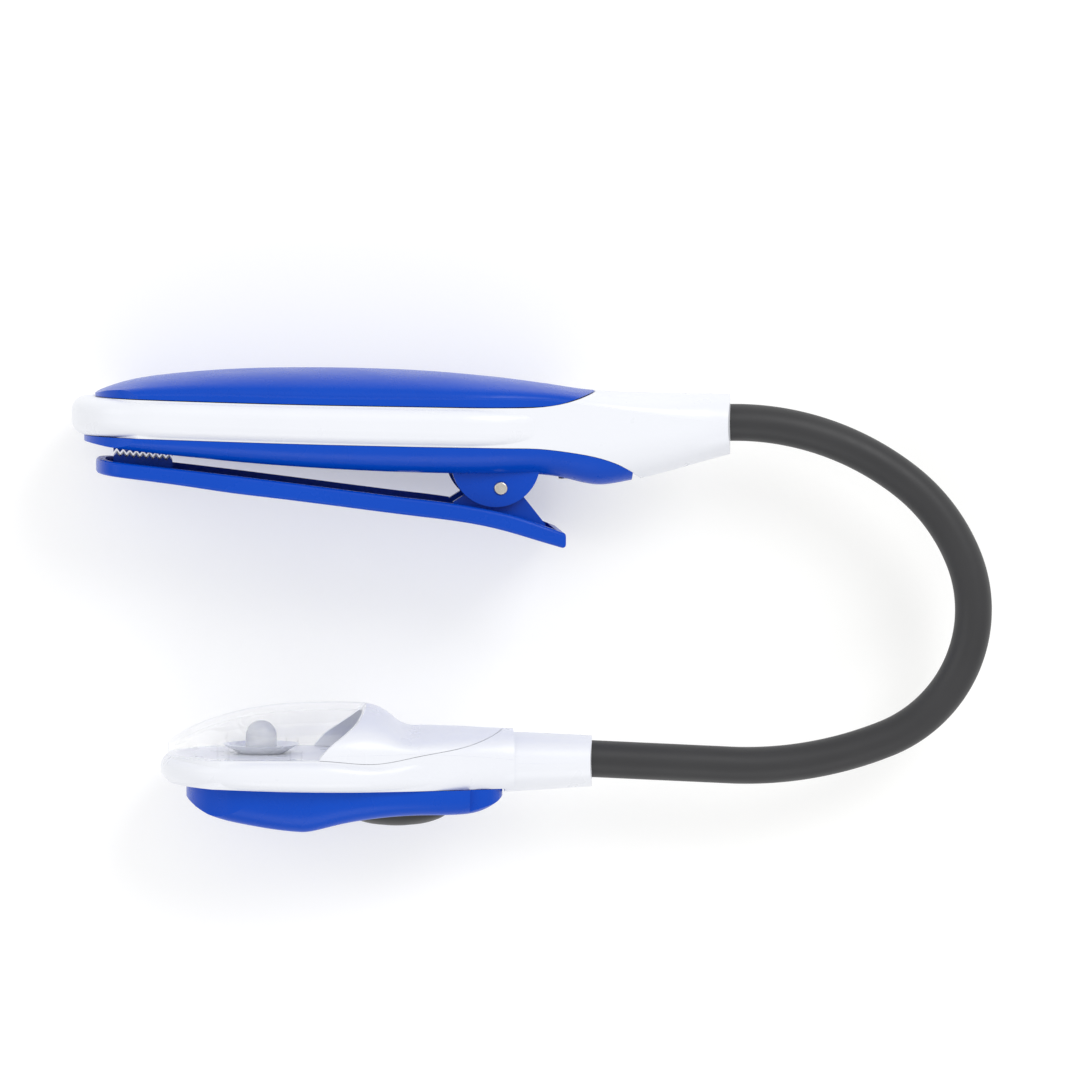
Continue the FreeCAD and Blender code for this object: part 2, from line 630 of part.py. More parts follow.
def head_hull(inset):
    wires = []
    for x in HEAD_STATIONS:
        wires.append(section(x, head_half_width(x) - inset, head_crown(x) - inset,
                             min(head_crease(x), head_crown(x) - 0.6 - inset), head_chine(x),
                             head_split(x) - 0.8, head_corner(x), 0.05))
    return loft(wires)


def sleeve_hull():
    wires = []
    for x in (-36.6, -35.0, -30.0, HEAD_MOUTH_X):
        top = sleeve_top(x)
        bottom = sleeve_bottom(x)
        middle = (top + bottom) / 2
        radius = (top - bottom) / 2
        wires.append(section(x, radius, top, middle + 0.05, middle - 0.05, bottom,
                             radius - 0.03, 0.03))
    return loft(wires)


def lens_side(keep_nose):
    """Everything on the lens's side, or the bezel's side, of the curved edge between them."""
    heights = spread(-54.6, -44.0, 12)
    edge = [V(lens_edge(y), y, -20) for y in heights]
    far = -110.0 if keep_nose else -20.0
    wire = Part.Wire([through(edge), Part.makeLine(edge[-1], V(far, edge[-1].y, -20)),
                      Part.makeLine(V(far, edge[-1].y, -20), V(far, edge[0].y, -20)),
                      Part.makeLine(V(far, edge[0].y, -20), edge[0])])
    return Part.Face(wire).extrude(V(0, 0, 40))


def head_band():
    def rim(x):
        merge = min(max((x + 66.0) / 24.0, 0.0), 1.0)
        bulge = (HEAD_RIM_HALF_WIDTH - HEAD_HALF_WIDTH) * (1 - merge * merge * (3 - 2 * merge))
        return head_half_width(x) + bulge - 0.8 * merge ** 4
    outline = plan(HEAD_NOSE_X, -40.0, HEAD_RIM_HALF_WIDTH, 15.0, power=2.2, tail=rim)
    band = outline.common(layer(head_split, head_ledge, (-96, -38)))
    return round_edges(band, 2.0, lambda e: level_edge(e) and e.BoundBox.XMax < -40.5)


def head_inside():
    """The hollow of the head frame, open upwards under the lens and down to the back cover."""
    hollow = plan(HEAD_NOSE_X + 4.4, -50.0, 8.8, 11.0, power=2.2)
    return hollow.common(box((-96, -44), (-70, PLATE_Y), (-20, 20)))


def head_frame():
    waist = plan(LENS_NOSE_X, -30.0, BODY_HALF_WIDTH, 14.0, power=2.2)
    waist = waist.common(between_seams(head_split, head_ledge, (-96, HEAD_STEP_X)))
    hull = head_hull(0.0).common(waist)
    sleeve = sleeve_hull()
    frame = head_band().fuse(hull).fuse(sleeve).cut(head_inside())
    point, direction = neck_end()
    frame = frame.cut(rod(point - direction * 5, direction, NECK_RADIUS + FIT, SOCKET_DEPTH + 5))
    frame = frame.cut(rod(point + direction * (SOCKET_DEPTH - 1), direction, FERRULE_RADIUS,
                          FERRULE_LENGTH + 1))
    frame = frame.cut(rod(V(-52, -55.3, 0), V(1, 0, 0), 1.3, 16))
    frame = frame.cut(rod_y(LED_X, 0, LED_RADIUS + 0.15, (-60, -50)))
    boss_x = HEAD_SCREWS_X[0]
    frame = frame.fuse(rod_y(boss_x, 0, 2.0, (head_split(boss_x) + 0.1, PLATE_Y)))
    for x, top in zip(HEAD_SCREWS_X, (-55.2, -56.8)):
        frame = frame.cut(rod_y(x, 0, 0.8, (-62, top)))
    return frame.common(rounded_end(HEAD_MOUTH_X, MOUTH_BOW))


def lens_pegs():
    """Clear snap legs inside the lens's side walls."""
    pegs = []
    for x, z, top in LENS_PEGS:
        pegs.append(both_sides(rod_y(x, z, 1.05, (head_ledge(x) + 0.05, top))))
    return pegs


def head_lens():
    over = layer(lambda x: head_ledge(x) + 0.05, level(-30), (-96, -50))
    outline = plan(LENS_NOSE_X, -50.0, HEAD_HALF_WIDTH, 14.0, power=2.2)
    outer = head_hull(0.0).common(over).common(outline).common(lens_side(True))
    core = head_hull(LENS_WALL).common(plan(LENS_NOSE_X + LENS_WALL, -50.0,
                                            HEAD_HALF_WIDTH - LENS_WALL, 13.0, power=2.2))
    lens = largest(outer.cut(core))
    for peg in lens_pegs():
        lens = lens.fuse(peg)
    return lens


def head_bezel():
    over = layer(lambda x: head_ledge(x) + 0.05, level(-30), (-72, HEAD_STEP_X))
    gap = lens_side(False)
    gap.translate(V(0.08, 0, 0))
    outer = head_hull(0.0).common(over).common(gap)
    core = head_hull(BEZEL_WALL).common(box((-80, -42), (-80, -30), (-20, 20)))
    return largest(outer.cut(core))


back_floor = smooth((-90, -58.6), (-88, -60.0), (-86, -61.5), (-82.2, -63.05), (-76.8, -64.2),
                    (-72.8, -64.85), (-69.2, -65.15), (-66.1, -64.55), (-62.3, -63.75), (-58, -63.15),
                    (-53.5, -62.9), (-50.5, -62.8), (-46.5, -62.95), (-43, -62.9), (-40.5, -62.4),
                    (-38.2, -61.3), (-36.9, -60.2), (-35.5, -59.2))
back_half_width = smooth((-90, BACK_HALF_WIDTH), (-66, BACK_HALF_WIDTH), (-58, 10.9), (-50, 9.2),
                         (-43, 7.0), (-38, 5.2), (-35, 4.2))
BACK_STATIONS = (-90, -87.5, -84, -79, -74, -70.2, -69.2, -68, -64, -58, -51, -45, -41.5, -39, -37, -35)


def back_hull(inset):
    wires = []
    for x in BACK_STATIONS:
        width = back_half_width(x) - inset
        seam = head_split(x)
        floor = back_floor(x) + inset
        chine = max(seam - 0.35 * (seam - floor), floor + 0.4)
        wires.append(section(x, width, seam + 4.0, seam + 2.5, chine, floor,
                             min(width - 0.2, BACK_CORNER, chine - floor + 1.2), 0.3))
    return loft(wires)


def oval(half_length, half_width, y):
    """A straight-sided oval plug round the button's axis."""
    middle = sum(BUTTON_X) / 2
    edge = Part.Ellipse(V(0, 0, 0), half_length, half_width).toShape()
    face = Part.Face(Part.Wire(edge))
    face.Placement = FreeCAD.Placement(V(middle, y[0], 0), FreeCAD.Rotation(V(1, 0, 0), 90))
    return face.extrude(V(0, y[1] - y[0], 0))


def button_half_length():
    return (BUTTON_X[1] - BUTTON_X[0]) / 2


def head_back_cover():
    below = layer(level(-90), lambda x: head_split(x) - 0.05, (-96, -30))
    tail = rounded_end(BACK_X[1], BACK_TAIL_BOW)
    nose = plan(BACK_X[0], -20.0, BACK_HALF_WIDTH + 0.01, 11.0, power=2.3)
    outer = back_hull(0.0).common(below).common(nose).common(tail)
    core = back_hull(BACK_WALL).common(plan(BACK_X[0] + BACK_WALL, -44.0, BACK_HALF_WIDTH - BACK_WALL,
                                            10.0, power=2.3))
    cover = largest(outer.cut(core))
    cover = cover.cut(oval(button_half_length() + 0.2, BUTTON_HALF_WIDTH + 0.2, (-70, -57)))
    x = HEAD_SCREWS_X[0]
    cover = cover.fuse(rod_y(x, 0, 2.0, (back_floor(x) + 0.4, head_split(x) - 0.05)))
    for x in HEAD_SCREWS_X:
        cover = cover.cut(rod_y(x, 0, 1.0, (-70, -50)))
        cover = cover.cut(rod_y(x, 0, 1.7, (-70, back_floor(x) + 1.3)))
    return cover


def head_screws():
    screws = []
    for x, top in zip(HEAD_SCREWS_X, (-55.4, -57.0)):
        seat = back_floor(x) + 1.3
        screw = rod_y(x, 0, 0.8, (seat, top)).fuse(rod_y(x, 0, 1.55, (seat - 0.7, seat)))
        slot = box((x - 1.2, x + 1.2), (seat - 0.8, seat - 0.4), (-0.2, 0.2)).fuse(
            box((x - 0.2, x + 0.2), (seat - 0.8, seat - 0.4), (-1.2, 1.2)))
        screws.append(screw.cut(slot))
    return Part.makeCompound(screws)


def switch_button():
    """A domed oval cap with a retaining lip and a post that presses the switch."""
    half_length = button_half_length()
    middle = sum(BUTTON_X) / 2
    brim = -62.5
    rings = []
    for t in (0.0, 0.3, 0.55, 0.75, 0.9, 0.98):
        size = math.sqrt(1 - t * t)
        ring = Part.Wire(Part.Ellipse(V(0, 0, 0), half_length * size, BUTTON_HALF_WIDTH * size).toShape())
        ring.Placement = FreeCAD.Placement(V(middle, brim + t * (BUTTON_TOP_Y - brim), 0),
                                           FreeCAD.Rotation(V(1, 0, 0), 90))
        rings.append(ring)
    dome = loft(rings)
    skirt = oval(half_length, BUTTON_HALF_WIDTH, (brim, -60.6))
    lip = oval(half_length + 0.7, BUTTON_HALF_WIDTH + 0.7, (-61.1, -60.6))
    post = rod_y(SWITCH_X, 0, 1.5, (-61.0, -60.05))
    return dome.fuse(skirt).fuse(lip).fuse(post)


def switch_body():
    body = box((SWITCH_X - 3, SWITCH_X + 3), (-58.5, BOARD[1][0]), (-3, 3))
    body = round_edges(body, 0.4, lambda e: e.BoundBox.YLength > 2)
    return body.cut(rod_y(SWITCH_X, 0, 1.7, (-58.6, -57.2)))


def switch_plunger():
    plunger = rod_y(SWITCH_X, 0, 1.6, (-60.05, -58.25))
    return round_edges(plunger, 0.2, lambda e: e.BoundBox.YLength < 0.01)


def head_board():
    board = box(*BOARD)
    for side in (1, -1):
        board = board.cut(rod_y(LED_X + side * 1.27, 0, 0.35, (-60, -50)))
    return board


def led():
    body = rod_y(LED_X, 0, LED_RADIUS, (PLATE_Y + 0.1, LED_TOP_Y - LED_RADIUS))
    dome = Part.makeSphere(LED_RADIUS, V(LED_X, LED_TOP_Y - LED_RADIUS, 0))
    flange = rod_y(LED_X, 0, LED_RADIUS + 0.4, (head_ledge(LED_X) + 0.02, head_ledge(LED_X) + 1.0))
    return body.fuse(dome).fuse(flange)


def led_leads():
    leads = []
    for side in (1, -1):
        x = LED_X + side * 1.27
        leads.append(box((x - 0.22, x + 0.22), (BOARD[1][0] - 0.8, PLATE_Y + 0.1), (-0.22, 0.22)))
    return Part.makeCompound(leads)


def resistor():
    y = BOARD[1][0] - 0.95
    body = rod(V(-68.5, y, 5.0), V(1, 0, 0), 0.9, 3.6)
    body = round_edges(body, 0.3, lambda e: e.BoundBox.XLength < 0.01)
    return body.fuse(rod(V(-70.0, y, 5.0), V(1, 0, 0), 0.25, 6.6))


def reflector():
    """A shallow white cone round the light's foot."""
    ledge = head_ledge(LED_X) + 0.02
    cone = Part.makeCone(3.6, 6.2, 1.5, V(LED_X, ledge, 0), V(0, 1, 0))
    return cone.cut(Part.makeCone(3.1, 5.9, 1.6, V(LED_X, ledge - 0.05, 0), V(0, 1, 0)))


# ---------------------------------------------------------------- placing and writing
def all_parts():
    end, direction = neck_end()
    inner = SOCKET_DEPTH + 0.05
    stop = SOCKET_DEPTH + FERRULE_LENGTH
    parts = {
        "base_frame": base_frame(),
        "battery_cover": battery_cover(),
        "base_bottom_shell": base_bottom_shell(),
        "base_screws": base_screws(),
        "hinge_pin": hinge_pin(),
        "clip_jaw": clip_jaw(),
        "torsion_spring": torsion_spring(),
        "battery_left": cell(-CELL_Z, 1),
        "battery_right": cell(CELL_Z, -1),
        "contact_springs": contact_springs(),
        "contact_bridge": contact_bridge(),
        "contact_tabs": contact_tabs(),
        "ferrule_base": ferrule(V(-inner, 0, 0), V(-1, 0, 0)),
        "ferrule_head": ferrule(end + direction * inner, direction),
        "neck_sleeve": neck_sleeve(),
        "wire_red": swept(WIRE_OFFSET, WIRE_RADIUS, BASE_LEAD, stop),
        "wire_black": swept(-WIRE_OFFSET, WIRE_RADIUS, BASE_LEAD, stop),
        "head_frame": head_frame(),
        "head_bezel": head_bezel(),
        "head_lens": head_lens(),
        "head_back_cover": head_back_cover(),
        "head_screws": head_screws(),
        "head_board": head_board(),
        "led": led(),
        "led_leads": led_leads(),
        "reflector": reflector(),
        "resistor": resistor(),
        "switch_body": switch_body(),
        "switch_plunger": switch_plunger(),
        "switch_button": switch_button(),
    }
    parts.update(neck_links())
    return parts


def floor_offset(parts):
    """The move that lays the lamp on its flank with the origin under the middle of its box."""
    whole = FreeCAD.BoundBox()
    for shape in parts.values():
        whole.add(shape.optimalBoundingBox(False))
    return V(-whole.Center.x, -whole.Center.y, -whole.ZMin)


PARTS = all_parts()
OFFSET = floor_offset(PARTS)
os.makedirs("parts", exist_ok=True)
for name, shape in PARTS.items():
    shape.translate(OFFSET)
    shape.exportStep("parts/%s.step" % name)
    if not shape.isValid() or not shape.Solids:
        print("check", name, shape.isValid(), len(shape.Solids))
print("parts", len(PARTS), "offset", OFFSET)
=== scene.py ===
import json
import math

import bmesh
import bpy
from mathutils import Matrix, Vector

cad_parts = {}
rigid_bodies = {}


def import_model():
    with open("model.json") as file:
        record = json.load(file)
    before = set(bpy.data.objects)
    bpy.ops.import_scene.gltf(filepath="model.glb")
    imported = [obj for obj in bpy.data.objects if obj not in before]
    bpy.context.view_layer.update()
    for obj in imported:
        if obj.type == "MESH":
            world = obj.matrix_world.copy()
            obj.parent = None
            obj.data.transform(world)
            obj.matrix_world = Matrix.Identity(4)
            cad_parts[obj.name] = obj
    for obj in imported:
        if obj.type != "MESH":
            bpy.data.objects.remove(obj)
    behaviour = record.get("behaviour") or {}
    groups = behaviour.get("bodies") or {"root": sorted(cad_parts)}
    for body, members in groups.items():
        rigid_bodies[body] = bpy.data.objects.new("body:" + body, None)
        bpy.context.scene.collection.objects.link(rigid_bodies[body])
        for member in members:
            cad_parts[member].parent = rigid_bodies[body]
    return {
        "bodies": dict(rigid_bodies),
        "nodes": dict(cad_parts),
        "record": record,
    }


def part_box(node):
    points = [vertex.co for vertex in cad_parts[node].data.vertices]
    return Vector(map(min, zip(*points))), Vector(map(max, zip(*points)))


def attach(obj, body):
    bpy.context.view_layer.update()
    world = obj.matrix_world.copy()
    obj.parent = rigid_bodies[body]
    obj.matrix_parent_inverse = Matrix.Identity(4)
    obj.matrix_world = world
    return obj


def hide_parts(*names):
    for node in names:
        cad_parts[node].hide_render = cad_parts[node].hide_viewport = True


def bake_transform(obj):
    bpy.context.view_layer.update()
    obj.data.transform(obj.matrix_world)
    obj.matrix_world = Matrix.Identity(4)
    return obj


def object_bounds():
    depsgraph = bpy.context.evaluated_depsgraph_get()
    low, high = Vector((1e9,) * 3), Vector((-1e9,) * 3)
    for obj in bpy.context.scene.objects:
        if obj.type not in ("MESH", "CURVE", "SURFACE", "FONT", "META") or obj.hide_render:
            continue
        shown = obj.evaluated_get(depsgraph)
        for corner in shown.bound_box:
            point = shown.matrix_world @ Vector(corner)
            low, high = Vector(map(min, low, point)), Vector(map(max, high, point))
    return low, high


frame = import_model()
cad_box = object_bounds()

# Clip-on reading lamp lying on its flank. +X runs from the clip's nose to the neck's bend,
# +Y from the head to the clip, and +Z up off the floor. Lengths are in metres.

MM = 0.001

# ---------------------------------------------------------------- places taken from the frame
clip_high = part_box("base_frame")[1]
bush_low, bush_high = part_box("ferrule_base")
NECK_ROOT = Vector((clip_high.x, (bush_low.y + bush_high.y) / 2, (bush_low.z + bush_high.z) / 2))
MIDDLE = (cad_box[0] + cad_box[1]) / 2

# ---------------------------------------------------------------- neck: the same run as the frame's
NECK_START = 0.75 * MM
NECK_ARCS = ((45.4, 38.0), (30.4, 30.5), (22.4, 90.0), (61.0, 24.5))   # radius in mm, turn in degrees
NECK_END = 21.9 * MM
SLEEVE_OUTER = 3.0 * MM
SLEEVE_INNER = 2.35 * MM
SLEEVE_TUCK = 8.7 * MM         # how far each end reaches into its socket
WIRE_RADIUS = 0.36 * MM
WIRE_OFFSET = 0.45 * MM
WIRE_LEAD = 37.5 * MM          # how far the leads run past the neck into the clip
WIRE_TAIL = 15.0 * MM          # and into the head
SLEEVE_SIDES = 48
WIRE_SIDES = 10
RING_STEP = 0.5 * MM           # spacing of the rings along a neck piece
FEWEST_RINGS = 14
SHARP = math.radians(40)       # edges turned by more than this are drawn sharp
CHAIN = ["clip_base"] + sorted(b for b in frame["bodies"] if b.startswith("neck_")) + ["lamp_head"]
SPANS = len(CHAIN) - 1


def arc_point(at, heading, radius, angle):
    """Where a right-hand arc that starts at a point and heading has got to after an angle."""
    centre = at + Vector((math.sin(heading), -math.cos(heading), 0)) * radius
    return centre + Vector((-math.sin(heading - angle), math.cos(heading - angle), 0)) * radius


def neck_runs():
    """The centreline as (start, heading, length, radius); a radius of 0 is a straight run."""
    runs = [(NECK_ROOT, 0.0, NECK_START, 0.0)]
    at = NECK_ROOT + Vector((NECK_START, 0, 0))
    heading = 0.0
    for radius_mm, turn in NECK_ARCS:
        radius = radius_mm * MM
        angle = math.radians(turn)
        runs.append((at, heading, radius * angle, radius))
        at = arc_point(at, heading, radius, angle)
        heading -= angle
    runs.append((at, heading, NECK_END, 0.0))
    return runs


RUNS = neck_runs()
NECK_LENGTH = sum(run[2] for run in RUNS)


def neck_at(distance):
    """Point and heading at a distance from the clip's mouth, run on straight past both ends."""
    left = distance
    for number, (at, heading, length, radius) in enumerate(RUNS):
        if left <= length or number == len(RUNS) - 1:
            if radius == 0.0:
                return at + Vector((math.cos(heading), math.sin(heading), 0)) * left, heading
            return arc_point(at, heading, radius, left / radius), heading - left / radius
        left -= length


# ---------------------------------------------------------------- helpers
def link(piece):
    """Adds an object to the scene."""
    bpy.context.scene.collection.objects.link(piece)
    return piece


def mesh_object(name, bm):
    """A smooth-shaded object from a bmesh, which is used up."""
    mesh = bpy.data.meshes.new(name)
    bm.to_mesh(mesh)
    bm.free()
    for face in mesh.polygons:
        face.use_smooth = True
    return link(bpy.data.objects.new(name, mesh))


def circle(bm, centre, across, up, radius, sides):
    """A ring of vertices round a centre, in the plane of two directions."""
    turns = [2 * math.pi * k / sides for k in range(sides)]
    return [bm.verts.new(centre + across * (radius * math.cos(turn)) + up * (radius * math.sin(turn)))
            for turn in turns]


def ring(bm, distance, radius, sides, side_shift=0.0):
    """A ring across the neck at a distance along it."""
    point, heading = neck_at(distance)
    across = Vector((-math.sin(heading), math.cos(heading), 0))
    up = Vector((0, 0, 1))
    return circle(bm, point + up * side_shift, across, up, radius, sides)


def bridge(bm, a, b, flip=False):
    """Faces between two rings of the same count."""
    count = len(a)
    for k in range(count):
        corners = [a[k], b[k], b[(k + 1) % count], a[(k + 1) % count]]
        bm.faces.new(corners[::-1] if flip else corners)


def tube(name, start, end, outer, inner, steps, sides, side_shift=0.0):
    """A tube along the neck, open or solid, closed at both ends."""
    bm = bmesh.new()
    places = [start + (end - start) * i / steps for i in range(steps + 1)]
    outside = [ring(bm, d, outer, sides, side_shift) for d in places]
    for a, b in zip(outside, outside[1:]):
        bridge(bm, a, b)
    if inner:
        inside = [ring(bm, d, inner, sides, side_shift) for d in places]
        for a, b in zip(inside, inside[1:]):
            bridge(bm, a, b, flip=True)
        bridge(bm, inside[0], outside[0])
        bridge(bm, outside[-1], inside[-1])
    else:
        bm.faces.new(outside[0])
        bm.faces.new(outside[-1][::-1])
    bmesh.ops.recalc_face_normals(bm, faces=bm.faces)
    for edge in bm.edges:
        if len(edge.link_faces) == 2 and edge.calc_face_angle(0) > SHARP:
            edge.smooth = False
    return mesh_object(name, bm)


def neck_pieces(name, slot, outer, inner, before, after, sides, side_shift=0.0):
    """One piece for each bending place, from the middle of one link to the middle of the next."""
    pieces = []
    step = NECK_LENGTH / SPANS
    for i in range(SPANS):
        start = i * step - (before if i == 0 else 0.0)
        end = (i + 1) * step + (after if i == SPANS - 1 else 0.0)
        steps = max(FEWEST_RINGS, int((end - start) / RING_STEP))
        piece = tube("%s_%02d" % (name, i), start, end, outer, inner, steps, sides, side_shift)
        a = neck_at(i * step)[0]
        b = neck_at((i + 1) * step)[0]
        piece.data.materials.append(materials[slot])
        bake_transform(piece)
        pieces.append(piece)
    return pieces


# ---------------------------------------------------------------- jaw spring
SPRING_WIRE = 0.34 * MM
SPRING_RADIUS = 1.75 * MM
SPRING_PITCH = 0.74 * MM
SPRING_LOW = -3.45 * MM        # lowest turn, from the middle plane
SPRING_STEPS = 24              # points in a turn
SPRING_SIDES = 10
SPRING_TURNS = 9
LEG_ANGLE = math.radians(200.5)   # where on the coil the lever's leg leaves it
ARM_ANGLE = math.radians(90)      # where the clip's leg leaves it
LEG_LENGTH = 4.0 * MM
ARM_LENGTH = 3.5 * MM


def swept_wire(name, points):
    """Round wire along points whose run is never upright, closed at both ends."""
    bm = bmesh.new()
    rings = []
    for i, point in enumerate(points):
        along = (points[min(i + 1, len(points) - 1)] - points[max(i - 1, 0)]).normalized()
        across = Vector((0, 0, 1)).cross(along).normalized()
        rings.append(circle(bm, point, across, along.cross(across), SPRING_WIRE, SPRING_SIDES))
    for a, b in zip(rings, rings[1:]):
        bridge(bm, a, b)
    bm.faces.new(rings[0])
    bm.faces.new(rings[-1][::-1])
    bmesh.ops.recalc_face_normals(bm, faces=bm.faces)
    return mesh_object(name, bm)


def jaw_spring():
    """Coil that stays with the clip, and the end turn and leg that press on the lever's floor."""
    pin_low, pin_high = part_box("hinge_pin")
    pin = (pin_low + pin_high) / 2

    def on_coil(angle, z):
        return pin + Vector((SPRING_RADIUS * math.cos(angle), SPRING_RADIUS * math.sin(angle), z))

    step = 2 * math.pi / SPRING_STEPS
    half = SPRING_STEPS // 2
    leg_run = Vector((-math.sin(LEG_ANGLE), math.cos(LEG_ANGLE), 0))
    lever_turn = [on_coil(LEG_ANGLE, SPRING_LOW) + leg_run * LEG_LENGTH]
    lever_turn += [on_coil(LEG_ANGLE - i * step, SPRING_LOW) for i in range(half + 1)]
    start = LEG_ANGLE - math.pi
    coil = [on_coil(start - i * step, SPRING_LOW + SPRING_PITCH * i / half) for i in range(half)]
    start -= math.pi
    last = ARM_ANGLE - 2 * math.pi * SPRING_TURNS
    count = int((start - last) / step)
    for i in range(count + 1):
        angle = start + (last - start) * i / count
        coil.append(on_coil(angle, SPRING_LOW + SPRING_PITCH * (1 + (start - angle) / (2 * math.pi))))
    coil.append(coil[-1] + Vector((ARM_LENGTH, 0, 0)))
    fixed = swept_wire("jaw_spring_coil", coil)
    moving = swept_wire("jaw_spring_leg", lever_turn)
    for piece, body in ((fixed, "clip_base"), (moving, "jaw")):
        piece.data.materials.append(materials["spring_steel"])
        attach(piece, body)
    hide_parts("torsion_spring")


# ---------------------------------------------------------------- materials
class Nodes:
    """Small wrapper that adds and joins shader nodes."""

    def __init__(self, name):
        self.material = bpy.data.materials.new(name)
        self.material.use_nodes = True
        self.tree = self.material.node_tree
        self.shader = self.tree.nodes["Principled BSDF"]
        self.coords = self.add("ShaderNodeTexCoord")

    def add(self, kind, **values):
        node = self.tree.nodes.new(kind)
        for key, value in values.items():
            setattr(node, key, value)
        return node

    def join(self, source, target):
        self.tree.links.new(source, target)

    def fix(self, **values):
        """Sets constant values on the shader's own sockets."""
        for key, value in values.items():
            self.shader.inputs[key.replace("_", " ")].default_value = value

    def noise(self, scale, detail=3.0, roughness=0.5):
        node = self.add("ShaderNodeTexNoise")
        node.inputs["Scale"].default_value = scale
        node.inputs["Detail"].default_value = detail
        node.inputs["Roughness"].default_value = roughness
        self.join(self.coords.outputs["Object"], node.inputs["Vector"])
        return node.outputs["Fac"]

    def ramp(self, source, stops):
        node = self.add("ShaderNodeValToRGB")
        elements = node.color_ramp.elements
        while len(elements) < len(stops):
            elements.new(0.5)
        for element, (place, colour) in zip(elements, stops):
            element.position = place
            element.color = (*colour, 1.0)
        self.join(source, node.inputs["Fac"])
        return node.outputs["Color"]

    def span(self, source, low, high):
        """Spreads the middle of a noise over a range of values."""
        node = self.add("ShaderNodeMapRange")
        node.inputs["From Min"].default_value = 0.3
        node.inputs["From Max"].default_value = 0.7
        node.inputs["To Min"].default_value = low
        node.inputs["To Max"].default_value = high
        self.join(source, node.inputs["Value"])
        return node.outputs["Result"]

    def bump(self, source, depth):
        node = self.add("ShaderNodeBump")
        node.inputs["Distance"].default_value = depth
        node.inputs["Strength"].default_value = 1.0
        self.join(source, node.inputs["Height"])
        self.join(node.outputs["Normal"], self.shader.inputs["Normal"])


def plastic(name, light, dark, gloss, grain=900.0, grain_depth=0.004 * MM, clouds=45.0, **fixed):
    """Moulded plastic: two close tones, flow clouds and a fine skin."""
    n = Nodes(name)
    n.join(n.ramp(n.noise(clouds, 4.0), [(0.3, dark), (0.7, light)]), n.shader.inputs["Base Color"])
    n.join(n.span(n.noise(clouds * 4, 5.0), gloss[0], gloss[1]), n.shader.inputs["Roughness"])
    n.bump(n.noise(grain, 2.0), grain_depth)
    n.fix(**fixed)
    return n.material


def metal(name, light, dark, gloss):
    """Plated or drawn metal with a faint grain."""
    n = Nodes(name)
    grain = n.noise(600.0, 4.0, 0.6)
    n.join(n.ramp(grain, [(0.25, dark), (0.75, light)]), n.shader.inputs["Base Color"])
    n.join(n.span(n.noise(180.0, 3.0), gloss[0], gloss[1]), n.shader.inputs["Roughness"])
    n.bump(grain, 0.006 * MM)
    n.fix(Metallic=1.0)
    return n.material


def clear_plastic():
    """Thin clear moulding: nearly invisible face on, glassy where it is seen at a slant."""
    n = Nodes("clear_plastic")
    n.fix(Transmission_Weight=1.0, IOR=1.42, Roughness=0.0)
    slant = n.add("ShaderNodeLayerWeight")
    slant.inputs["Blend"].default_value = 0.35
    n.join(n.ramp(slant.outputs["Facing"], [(0.0, (0.05,) * 3), (0.7, (0.1,) * 3), (0.92, (0.85,) * 3)]),
           n.shader.inputs["Alpha"])
    n.join(n.ramp(n.noise(60.0, 2.0), [(0.3, (0.965, 0.972, 0.98)), (0.7, (0.99, 0.993, 0.998))]),
           n.shader.inputs["Base Color"])
    n.bump(n.noise(120.0, 2.0), 0.004 * MM)
    return n.material


def led_epoxy():
    """Pale, partly clear epoxy of the light."""
    n = Nodes("led_epoxy")
    n.join(n.ramp(n.noise(300.0, 3.0), [(0.3, (0.84, 0.85, 0.87)), (0.7, (0.90, 0.91, 0.93))]),
           n.shader.inputs["Base Color"])
    n.join(n.span(n.noise(500.0), 0.08, 0.16), n.shader.inputs["Roughness"])
    n.fix(Transmission_Weight=0.6, IOR=1.45)
    n.bump(n.noise(700.0), 0.004 * MM)
    return n.material


def cell_wrap():
    """Film wrap: a dark sleeve with a plain coloured band round one end."""
    n = Nodes("cell_wrap")
    split = n.add("ShaderNodeSeparateXYZ")
    n.join(n.coords.outputs["Object"], split.inputs["Vector"])
    low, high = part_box("battery_left")
    place = n.add("ShaderNodeMapRange")
    place.inputs["From Min"].default_value = low.x
    place.inputs["From Max"].default_value = high.x
    n.join(split.outputs["X"], place.inputs["Value"])
    steel = (0.50, 0.49, 0.47)
    colour = n.ramp(place.outputs["Result"], [(0.0, steel), (0.03, (0.02, 0.02, 0.022)),
                                              (0.70, (0.42, 0.24, 0.05)), (0.97, steel)])
    n.tree.nodes[-1].color_ramp.interpolation = "CONSTANT"
    n.join(colour, n.shader.inputs["Base Color"])
    n.join(n.span(n.noise(200.0, 4.0), 0.2, 0.32), n.shader.inputs["Roughness"])
    n.bump(n.noise(500.0), 0.004 * MM)
    n.fix(Metallic=0.4)
    return n.material


def wound_core():
    """Round wire wound close: fine rings across the neck's width, with painted shade in the grooves
    between turns and a painted highlight on their crowns.
    """
    n = Nodes("core_steel")
    wave = n.add("ShaderNodeTexWave", wave_type="RINGS", rings_direction="SPHERICAL")
    wave.inputs["Scale"].default_value = 900.0
    wave.inputs["Distortion"].default_value = 0.3
    n.join(n.coords.outputs["Object"], wave.inputs["Vector"])
    # painted shade and highlight: the colour darkens where the bump sinks into the grooves between turns
    # and lightens on the crowns
    n.join(n.ramp(wave.outputs["Fac"], [(0.1, (0.20, 0.20, 0.20)), (0.8, (0.46, 0.46, 0.47))]),
           n.shader.inputs["Base Color"])
    n.join(n.span(n.noise(400.0), 0.3, 0.45), n.shader.inputs["Roughness"])
    n.bump(wave.outputs["Fac"], 0.05 * MM)
    n.fix(Metallic=1.0)
    return n.material


